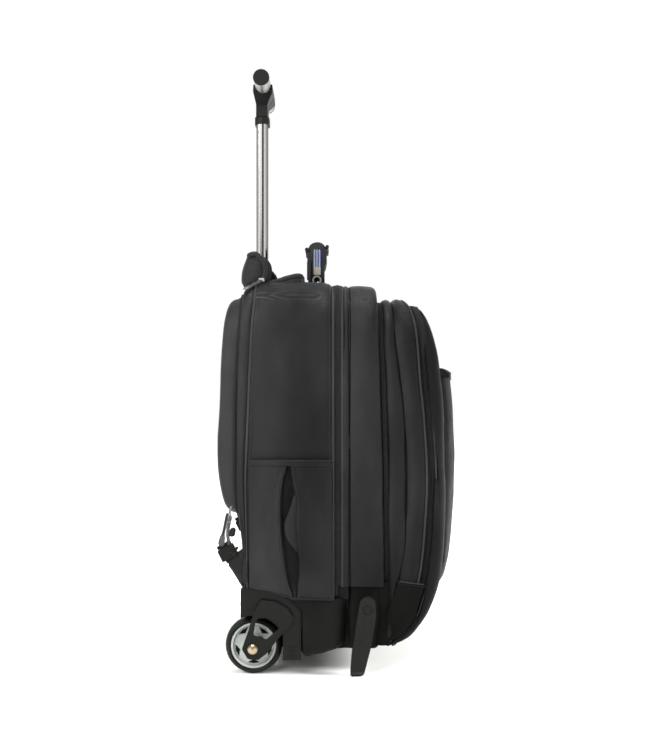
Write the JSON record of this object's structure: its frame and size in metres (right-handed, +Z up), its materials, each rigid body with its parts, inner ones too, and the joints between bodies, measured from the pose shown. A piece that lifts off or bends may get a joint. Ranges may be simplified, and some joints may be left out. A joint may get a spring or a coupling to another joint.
{
  "type": "rolling laptop case",
  "caption": "Upright soft laptop backpack on wheels with a telescoping T-handle, zipped compartments, side pockets, a top grab handle and stowable shoulder straps.",
  "frame": {"origin": "on the floor, under the middle of the case's bounding box", "axes": "+Z up; -Y the front of the case, +Y its back, where the wheels and the telescoping handle are; -X the side called left, seen from the front"},
  "size_m": [0.368, 0.303, 0.7815],
  "materials": {
    "shell_nylon": "black satin woven nylon, close weave",
    "base_nylon": "heavier black ballistic weave",
    "zip_tape": "black zip tape and lining",
    "webbing": "black ribbed webbing",
    "padded_mesh": "charcoal padded mesh cloth",
    "back_board": "grey plastic board",
    "dark_plastic": "dark grey moulded plastic, fine grain",
    "polished_steel": "polished",
    "tube_steel": "drawn",
    "satin_aluminium": "satin anodised",
    "tyre_rubber": "solid dark grey rubber",
    "silver_plastic": "silver paint",
    "nickel": "warm nickel plate"
  },
  "bodies": {
    "case": {"axle_left": "nickel", "axle_right": "nickel", "back_panel": "padded_mesh", "base_tub": "base_nylon", "buckle_socket_left": "dark_plastic", "buckle_socket_right": "dark_plastic", "carry_ring_left": "nickel", "carry_ring_right": "nickel", "foot_left": "dark_plastic", "foot_right": "dark_plastic", "foot_screw_left": "dark_plastic", "foot_screw_right": "dark_plastic", "frame_sheet": "back_board", "front_base": "base_nylon", "garage_lip": "padded_mesh", "garage_well": "zip_tape", "garage_zip_slider": "nickel", "handle_anchor": "dark_plastic", "handle_outer_tube": "tube_steel", "handle_socket": "dark_plastic", "laptop_divider": "padded_mesh", "main_compartment": "shell_nylon", "main_zip_tape_rear": "zip_tape", "shoulder_strap_left": "padded_mesh", "shoulder_strap_right": "padded_mesh", "side_pocket_left": "shell_nylon", "side_pocket_right": "shell_nylon", "strap_wing_left": "webbing", "strap_wing_right": "webbing", "wheel_bracket_left": "dark_plastic", "wheel_bracket_right": "dark_plastic", "wheel_housing_left": "dark_plastic", "wheel_housing_right": "dark_plastic"},
    "front_section": {"front_compartment": "shell_nylon", "front_pocket": "shell_nylon", "main_zip_tape_front": "zip_tape"},
    "front_panel": {"front_panel": "shell_nylon", "slip_pocket": "shell_nylon"},
    "handle_lower": {"handle_middle_tube": "polished_steel", "handle_middle_collar": "dark_plastic"},
    "handle_upper": {"handle_inner_tube": "polished_steel", "handle_yoke": "dark_plastic", "grip_bar": "satin_aluminium", "grip_cap_left": "dark_plastic", "grip_cap_right": "dark_plastic"},
    "release_button": {"release_button": "dark_plastic"},
    "garage_hood": {"garage_hood": "padded_mesh"},
    "garage_zip_puller": {"garage_zip_puller": "nickel"},
    "carry_handle": {"carry_grip": "padded_mesh", "carry_webbing": "webbing"},
    "wheel_left": {"tyre_left": "tyre_rubber", "rim_left": "silver_plastic", "bearing_left": "tube_steel"},
    "buckle_plug_left": {"buckle_plug_left": "dark_plastic"},
    "strap_puller_left": {"strap_puller_left": "dark_plastic"},
    "wheel_right": {"tyre_right": "tyre_rubber", "rim_right": "silver_plastic", "bearing_right": "tube_steel"},
    "buckle_plug_right": {"buckle_plug_right": "dark_plastic"},
    "strap_puller_right": {"strap_puller_right": "dark_plastic"}
  },
  "joints": [
    {"name": "front_section_hinge", "type": "hinge", "parent": "case", "child": "front_section", "pos_m": [0, -0.0545, 0.036], "axis": [1, 0, 0], "range_deg": [0, 35]},
    {"name": "front_panel_hinge", "type": "hinge", "parent": "front_section", "child": "front_panel", "pos_m": [0, -0.06, 0.04], "axis": [1, 0, 0], "range_deg": [0, 25]},
    {"name": "handle_lower_slide", "type": "slide", "parent": "case", "child": "handle_lower", "axis": [0, 0, 1], "range_m": [-0.2625, 0]},
    {"name": "handle_upper_slide", "type": "slide", "parent": "handle_lower", "child": "handle_upper", "axis": [0, 0, 1], "range_m": [0, 0.215]},
    {"name": "release_button_press", "type": "slide", "parent": "handle_upper", "child": "release_button", "axis": [0, 0, 1], "range_m": [-0.004, 0], "stiffness_N_per_m": 300, "springref_m": 0.002},
    {"name": "garage_hood_fold", "type": "hinge", "parent": "case", "child": "garage_hood", "pos_m": [0, 0.1225, 0.4995], "axis": [-1, 0, 0], "range_deg": [0, 60]},
    {"name": "garage_zip_puller_swing", "type": "hinge", "parent": "case", "child": "garage_zip_puller", "pos_m": [-0.126, 0.0965, 0.4995], "axis": [0.5271, 0.7932, 0.3051], "range_deg": [0, 110]},
    {"name": "carry_handle_swing", "type": "hinge", "parent": "case", "child": "carry_handle", "pos_m": [0, 0.0255, 0.5045], "axis": [1, 0, 0], "range_deg": [-30, 60]},
    {"name": "wheel_left_spin", "type": "hinge", "parent": "case", "child": "wheel_left", "pos_m": [-0.145, 0.105, 0.036], "axis": [1, 0, 0], "continuous": true},
    {"name": "buckle_plug_left_pull", "type": "slide", "parent": "case", "child": "buckle_plug_left", "axis": [0, 0.4695, 0.8829], "range_m": [0, 0.025]},
    {"name": "strap_puller_left_swing", "type": "hinge", "parent": "case", "child": "strap_puller_left", "pos_m": [-0.1718, 0.138, 0.207], "axis": [1, 0, 0], "range_deg": [-35, 100]},
    {"name": "wheel_right_spin", "type": "hinge", "parent": "case", "child": "wheel_right", "pos_m": [0.145, 0.105, 0.036], "axis": [1, 0, 0], "continuous": true},
    {"name": "buckle_plug_right_pull", "type": "slide", "parent": "case", "child": "buckle_plug_right", "axis": [0, 0.4695, 0.8829], "range_m": [0, 0.025]},
    {"name": "strap_puller_right_swing", "type": "hinge", "parent": "case", "child": "strap_puller_right", "pos_m": [0.1718, 0.138, 0.207], "axis": [1, 0, 0], "range_deg": [-35, 100]}
  ]
}
